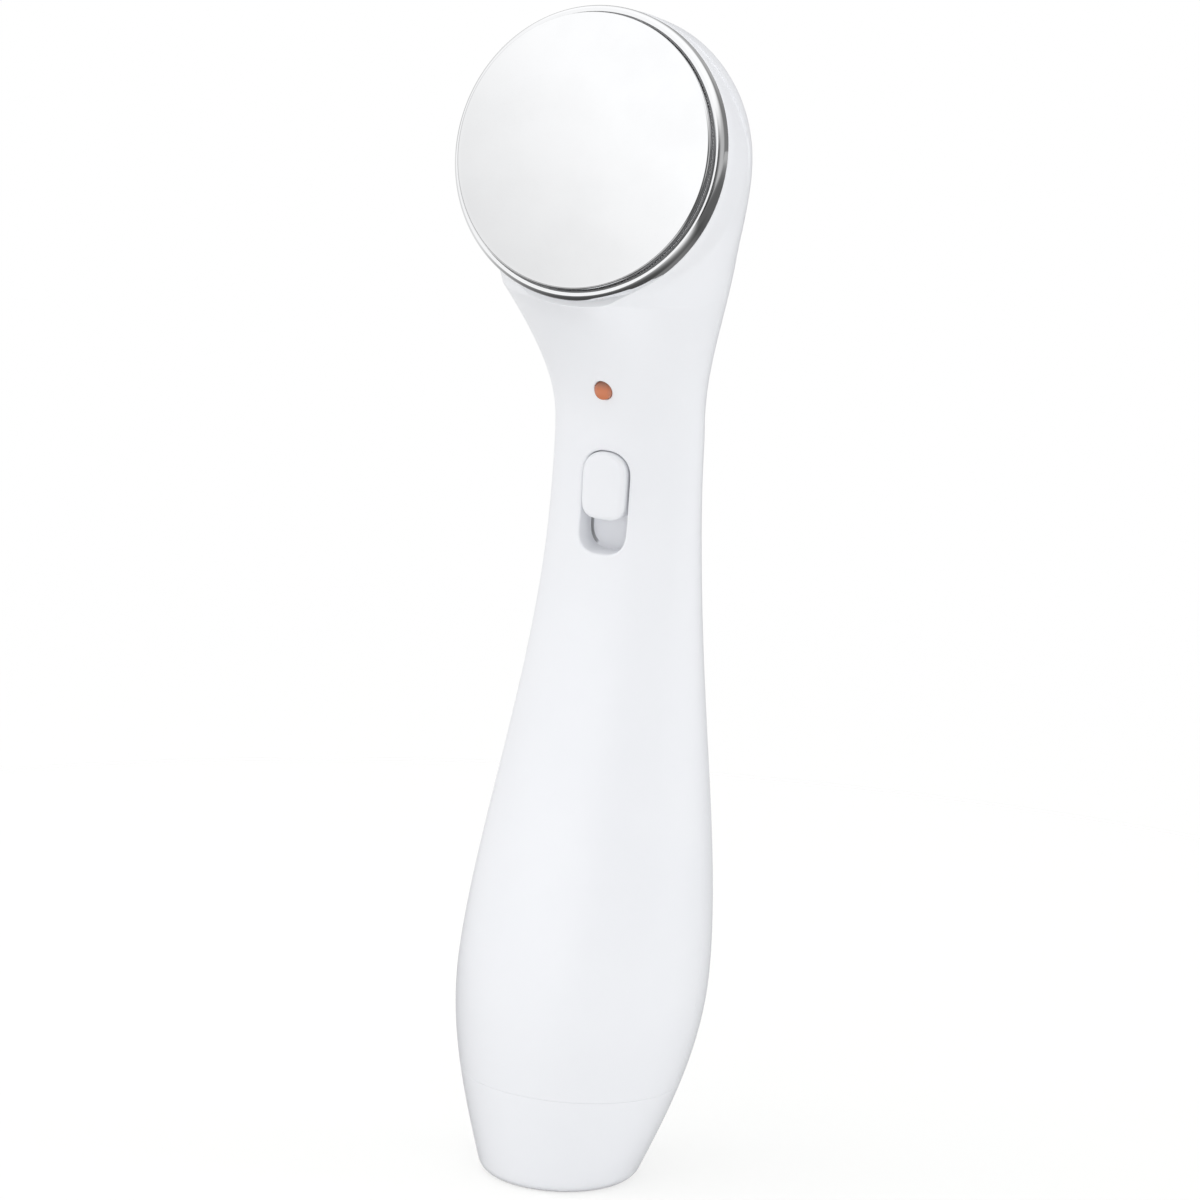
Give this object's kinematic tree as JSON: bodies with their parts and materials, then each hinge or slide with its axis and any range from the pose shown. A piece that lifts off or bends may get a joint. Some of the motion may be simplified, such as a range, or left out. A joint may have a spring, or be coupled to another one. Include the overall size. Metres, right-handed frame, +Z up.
{
  "type": "facial toning device",
  "caption": "Slim white handheld wand with a tilted round chrome contact plate, a slide switch, an indicator lamp, a vibration motor and a cell behind a pull-off end cap.",
  "frame": {"origin": "centre of the flat face under the end cap, on which the wand stands", "axes": "+Z up the wand towards its head, -Y towards the side with the chrome plate and the switch, +X to the right of someone who looks along +Y at that side"},
  "size_m": [0.0394, 0.0332, 0.1575],
  "materials": {
    "white_plastic": "white moulded ABS with a satin gloss",
    "inner_plastic": "plain white moulded ABS, as moulded",
    "chrome_plating": "polished bright chrome",
    "black_plastic": "black moulded plastic",
    "amber_lens": "translucent orange-red plastic",
    "spring_steel": "nickel-plated steel",
    "brass": "turned brass",
    "copper_wire": "enamelled copper winding on a core",
    "magnet": "sintered ferrite",
    "circuit_board": "glass-fibre laminate with green solder mask",
    "capacitor_sleeve": "dark blue shrink sleeve",
    "rubber": "soft black rubber",
    "red_lead": "red insulated stranded wire",
    "black_lead": "black insulated stranded wire",
    "white_lead": "white insulated stranded wire",
    "green_lead": "green insulated stranded wire",
    "cell_sleeve": null
  },
  "bodies": {
    "handle": {"front_shell": "white_plastic", "rear_shell": "white_plastic", "head_ring": "chrome_plating", "head_carrier": "black_plastic", "head_plate": "chrome_plating", "plate_nut": "brass", "plate_lug": "spring_steel", "ring_lug": "spring_steel", "indicator_lens": "amber_lens", "led": "amber_lens", "led_leads": "spring_steel", "circuit_board": "circuit_board", "switch_frame": "spring_steel", "switch_pins": "brass", "boost_inductor": "copper_wire", "electrolytic_capacitor": "capacitor_sleeve", "driver_chip": "black_plastic", "transistor": "black_plastic", "resistors": "black_plastic", "motor_sleeve": "rubber", "motor_clip": "inner_plastic", "motor_can": "spring_steel", "motor_end_cap": "black_plastic", "motor_bush": "brass", "motor_magnets": "magnet", "motor_terminals": "brass", "battery_tube": "inner_plastic", "positive_contact": "spring_steel", "negative_strip": "spring_steel", "case_screws": "spring_steel", "board_screws": "spring_steel", "clip_screws": "spring_steel", "motor_lead_red": "red_lead", "motor_lead_black": "black_lead", "plate_lead": "white_lead", "ring_lead": "green_lead", "battery_lead_red": "red_lead", "battery_lead_black": "black_lead"},
    "rotor": {"motor_shaft": "spring_steel", "armature": "copper_wire", "commutator": "copper_wire", "eccentric_weight": "brass"},
    "switch_slider": {"switch_knob": "white_plastic", "switch_actuator": "black_plastic"},
    "cap": {"battery_cap": "white_plastic", "cap_spring": "spring_steel", "cap_contact": "spring_steel"},
    "cell": {"cell_can": "cell_sleeve", "cell_button": "spring_steel"}
  },
  "joints": [
    {"name": "power_switch", "type": "slide", "parent": "handle", "child": "switch_slider", "axis": [0, 0, -1], "range_m": [0, 0.0043]},
    {"name": "motor_spin", "type": "hinge", "parent": "handle", "child": "rotor", "pos_m": [0, 0.00352, 0.1366], "axis": [0, 0.2504, 0.9681], "continuous": true},
    {"name": "cap_pull", "type": "slide", "parent": "handle", "child": "cap", "axis": [0, 0, -1], "range_m": [0, 0.12]},
    {"name": "cell_slide", "type": "slide", "parent": "handle", "child": "cell", "axis": [0, -0.1305, -0.9914], "range_m": [0, 0.054]}
  ],
  "couplings": [
    {"joint": "cell_slide", "follows": "cap_pull", "ratio": 0.45}
  ]
}
